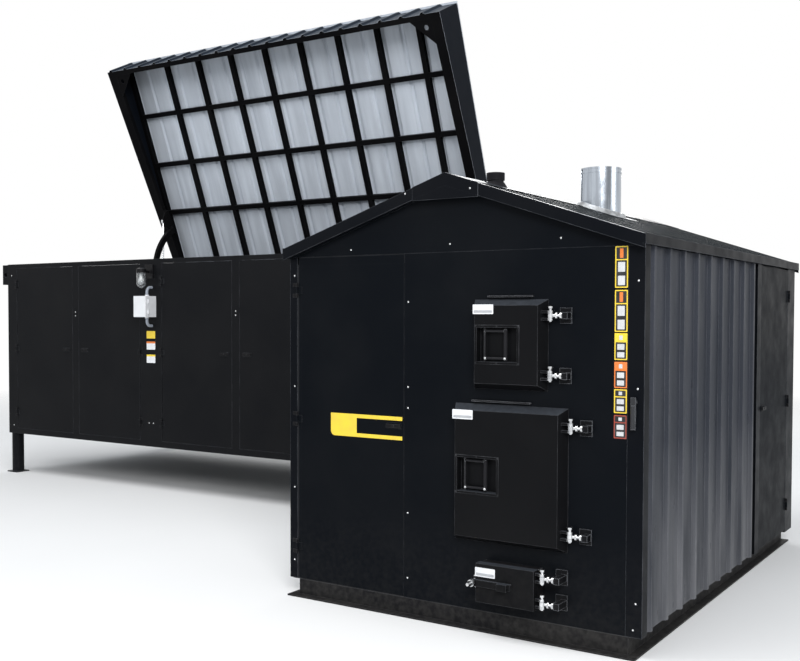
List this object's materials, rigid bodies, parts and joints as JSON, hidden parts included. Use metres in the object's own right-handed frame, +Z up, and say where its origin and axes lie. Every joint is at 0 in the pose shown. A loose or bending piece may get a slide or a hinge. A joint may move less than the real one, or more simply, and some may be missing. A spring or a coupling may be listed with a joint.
{
  "type": "outdoor wood boiler",
  "caption": "Wood boiler in a gabled steel house, fed by an auger from a long chip bin on legs whose ribbed lid stands open on a lift.",
  "frame": {"origin": "middle of the house skid's underside, on the ground", "axes": "+X to the right of the house front, +Y from its front to its back, +Z up"},
  "size_m": [7.76, 4.7892, 4.5206],
  "materials": {
    "skid": "satin",
    "floor": "satin",
    "frame_tube": "satin",
    "black_panel": "satin",
    "ribbed_siding": "satin",
    "trim": "satin",
    "roof_sheet": "satin",
    "chimney_steel": "brushed",
    "flashing": "satin",
    "vent_black": "matt",
    "jacket_steel": "matt",
    "grate_iron": "matt",
    "smoke_tube_steel": "matt",
    "collar_steel": "satin",
    "hinge_steel": "satin",
    "cast_door": "satin",
    "handle_steel": "satin",
    "clamp_steel": "satin",
    "latch_black": "satin",
    "feed_pipe": "satin",
    "auger_steel": "matt",
    "drive_paint": "satin",
    "blower_metal": "satin",
    "wheel_metal": "satin",
    "pipe_copper": "satin",
    "box_grey": "satin",
    "bin_tube": "satin",
    "bin_sheet": "satin",
    "hopper_steel": "matt",
    "lid_tube": "satin",
    "lid_sheet": "satin",
    "cylinder_black": "gloss",
    "chrome_rod": "polished",
    "lamp_metal": "satin",
    "globe_glass": "clear",
    "switch_plastic": "matt"
  },
  "bodies": {
    "house": {"base_skid": "skid", "floor_pan": "floor", "house_frame": "frame_tube", "front_panel": "black_panel", "gable_panels": "black_panel", "side_siding": "ribbed_siding", "rear_panels": "black_panel", "corner_trims": "trim", "roof_panels": "roof_sheet", "roof_trims": "trim", "chimney_pipe": "chimney_steel", "chimney_flashing": "flashing", "roof_vent": "vent_black", "water_jacket": "jacket_steel", "fire_grate": "grate_iron", "heat_tubes": "smoke_tube_steel", "door_collars": "collar_steel", "hinge_brackets": "hinge_steel", "feed_tube": "feed_pipe", "auger_drives": "drive_paint", "stoker_housing": "feed_pipe", "blower_housing": "blower_metal", "water_pipes": "pipe_copper", "control_box": "box_grey", "bin_frame": "bin_tube", "bin_walls": "bin_sheet", "bin_hopper": "hopper_steel", "wall_lamp": "lamp_metal", "lamp_globe": "globe_glass", "switch_box": "switch_plastic", "door_hinges": "latch_black"},
    "main_door": {"main_door": "cast_door"},
    "main_handle": {"main_handle": "handle_steel"},
    "upper_door": {"upper_door": "cast_door"},
    "upper_handle": {"upper_handle": "handle_steel"},
    "ash_door": {"ash_door": "cast_door"},
    "ash_clamp": {"ash_clamp": "clamp_steel"},
    "access_door": {"access_door": "black_panel"},
    "access_latch": {"access_latch": "latch_black"},
    "rear_door": {"rear_door": "black_panel"},
    "rear_latch": {"rear_latch": "latch_black"},
    "corner_lever": {"corner_lever": "latch_black"},
    "feed_auger": {"feed_auger": "auger_steel"},
    "stoker_auger": {"stoker_auger": "auger_steel"},
    "blower_wheel": {"blower_wheel": "wheel_metal"},
    "bin_door_1": {"bin_door_1": "bin_sheet"},
    "bin_door_2": {"bin_door_2": "bin_sheet"},
    "bin_door_3": {"bin_door_3": "bin_sheet"},
    "bin_door_4": {"bin_door_4": "bin_sheet"},
    "bin_latch_1": {"bin_latch_1": "latch_black"},
    "bin_latch_2": {"bin_latch_2": "latch_black"},
    "bin_latch_3": {"bin_latch_3": "latch_black"},
    "bin_latch_4": {"bin_latch_4": "latch_black"},
    "lift_cylinder": {"lift_cylinder": "cylinder_black"},
    "lift_rod": {"lift_rod": "chrome_rod"},
    "switch_cover": {"switch_cover": "switch_plastic"},
    "lid": {"lid_rim": "lid_tube", "lid_grid": "lid_tube", "lid_cladding": "lid_sheet", "lift_arm": "lid_tube"}
  },
  "joints": [
    {"name": "main_door_hinge", "type": "hinge", "parent": "house", "child": "main_door", "pos_m": [0.701, -1.571, 0.804], "axis": [0, 0, 1], "range_deg": [0, 110]},
    {"name": "main_handle_turn", "type": "hinge", "parent": "main_door", "child": "main_handle", "pos_m": [0.123, -1.576, 0.8], "axis": [0, 0, -1], "range_deg": [0, 75]},
    {"name": "upper_door_hinge", "type": "hinge", "parent": "house", "child": "upper_door", "pos_m": [0.591, -1.571, 1.461], "axis": [0, 0, 1], "range_deg": [0, 110]},
    {"name": "upper_handle_turn", "type": "hinge", "parent": "upper_door", "child": "upper_handle", "pos_m": [0.233, -1.576, 1.461], "axis": [0, 0, -1], "range_deg": [0, 75]},
    {"name": "ash_door_hinge", "type": "hinge", "parent": "house", "child": "ash_door", "pos_m": [0.579, -1.619, 0.268], "axis": [0, 0, 1], "range_deg": [0, 110]},
    {"name": "ash_clamp_turn", "type": "hinge", "parent": "ash_door", "child": "ash_clamp", "pos_m": [0.213, -1.619, 0.268], "axis": [0, 0, -1], "range_deg": [0, 100]},
    {"name": "access_door_hinge", "type": "hinge", "parent": "house", "child": "access_door", "pos_m": [-0.998, -1.544, 1], "axis": [0, 0, -1], "range_deg": [0, 115]},
    {"name": "access_latch_turn", "type": "hinge", "parent": "access_door", "child": "access_latch", "pos_m": [-0.338, -1.535, 1.012], "axis": [0, -1, 0], "range_deg": [0, 90]},
    {"name": "rear_door_hinge", "type": "hinge", "parent": "house", "child": "rear_door", "pos_m": [1.061, 1.337, 1], "axis": [0, 0, 1], "range_deg": [0, 115]},
    {"name": "rear_latch_turn", "type": "hinge", "parent": "rear_door", "child": "rear_latch", "pos_m": [1.052, 0.668, 1.016], "axis": [-1, 0, 0], "range_deg": [0, 90]},
    {"name": "corner_lever_turn", "type": "hinge", "parent": "house", "child": "corner_lever", "pos_m": [1.006, -1.537, 1.205], "axis": [0, 1, 0], "range_deg": [0, 90]},
    {"name": "bin_door_1_hinge", "type": "hinge", "parent": "house", "child": "bin_door_1", "pos_m": [-6.27, 0.495, 1.27], "axis": [0, 0, -1], "range_deg": [0, 110]},
    {"name": "bin_latch_1_turn", "type": "hinge", "parent": "bin_door_1", "child": "bin_latch_1", "pos_m": [-5.508, 0.504, 1.27], "axis": [0, -1, 0], "range_deg": [0, 90]},
    {"name": "bin_door_2_hinge", "type": "hinge", "parent": "house", "child": "bin_door_2", "pos_m": [-4.484, 0.495, 1.27], "axis": [0, 0, 1], "range_deg": [0, 95]},
    {"name": "bin_latch_2_turn", "type": "hinge", "parent": "bin_door_2", "child": "bin_latch_2", "pos_m": [-5.246, 0.504, 1.27], "axis": [0, 1, 0], "range_deg": [0, 90]},
    {"name": "bin_door_3_hinge", "type": "hinge", "parent": "house", "child": "bin_door_3", "pos_m": [-4.206, 0.495, 1.27], "axis": [0, 0, -1], "range_deg": [0, 95]},
    {"name": "bin_latch_3_turn", "type": "hinge", "parent": "bin_door_3", "child": "bin_latch_3", "pos_m": [-3.444, 0.504, 1.27], "axis": [0, -1, 0], "range_deg": [0, 90]},
    {"name": "bin_door_4_hinge", "type": "hinge", "parent": "house", "child": "bin_door_4", "pos_m": [-2.42, 0.495, 1.27], "axis": [0, 0, 1], "range_deg": [0, 110]},
    {"name": "bin_latch_4_turn", "type": "hinge", "parent": "bin_door_4", "child": "bin_latch_4", "pos_m": [-3.182, 0.504, 1.27], "axis": [0, 1, 0], "range_deg": [0, 90]},
    {"name": "lid_hinge", "type": "hinge", "parent": "house", "child": "lid", "pos_m": [-4.28, 2.954, 2.13], "axis": [1, 0, 0], "range_deg": [0, 64]},
    {"name": "lift_cylinder_swing", "type": "hinge", "parent": "house", "child": "lift_cylinder", "pos_m": [-6.314, 2.524, 1.23], "axis": [1, 0, 0], "range_deg": [0, 20.5]},
    {"name": "lift_rod_slide", "type": "slide", "parent": "lift_cylinder", "child": "lift_rod", "axis": [0, 0.0328, 0.9995], "range_m": [-0.635, 0]},
    {"name": "switch_cover_hinge", "type": "hinge", "parent": "house", "child": "switch_cover", "pos_m": [-4.2705, 0.4056, 1.685], "axis": [0, 0, 1], "range_deg": [0, 90]},
    {"name": "feed_auger_spin", "type": "hinge", "parent": "house", "child": "feed_auger", "pos_m": [-4, 1, 0.7], "axis": [1, 0, 0], "continuous": true},
    {"name": "stoker_auger_spin", "type": "hinge", "parent": "house", "child": "stoker_auger", "pos_m": [0.27, 0.8, 0.56], "axis": [0, 1, 0], "continuous": true},
    {"name": "blower_wheel_spin", "type": "hinge", "parent": "house", "child": "blower_wheel", "pos_m": [-0.02, 0.5, 0.3], "axis": [0, 1, 0], "continuous": true}
  ],
  "couplings": [
    {"joint": "lift_cylinder_swing", "follows": "lid_hinge", "ratio": 0.31066},
    {"joint": "lift_rod_slide", "follows": "lid_hinge", "m_per_rad": -0.5651}
  ]
}
